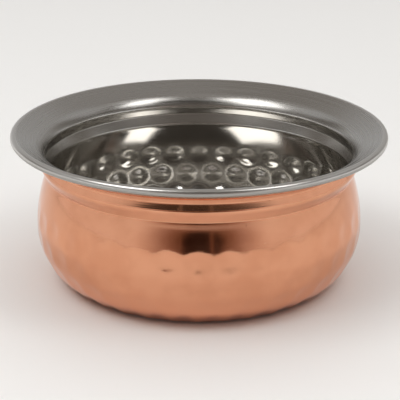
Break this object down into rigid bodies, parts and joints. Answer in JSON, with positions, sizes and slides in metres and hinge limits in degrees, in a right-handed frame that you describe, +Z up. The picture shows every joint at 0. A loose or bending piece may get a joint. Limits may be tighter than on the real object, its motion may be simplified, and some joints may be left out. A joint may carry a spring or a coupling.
{
  "type": "handi bowl",
  "caption": "Round serving bowl with a flared satin steel flange, curled rim and pinched neck; hammered belly, steel inside with a copper jacket outside, flat base",
  "frame": {"origin": "centre of the flat base's underside, where the bowl stands", "axes": "+Z up, the bowl's axis of turning; X and Y are equal"},
  "size_m": [0.125, 0.125, 0.0509],
  "materials": {
    "steel": "satin flange, polished rim and inside",
    "copper": "polished copper, hammered lower half"
  },
  "bodies": {
    "root": {"steel_bowl": "steel", "copper_jacket": "copper"}
  },
  "joints": []
}
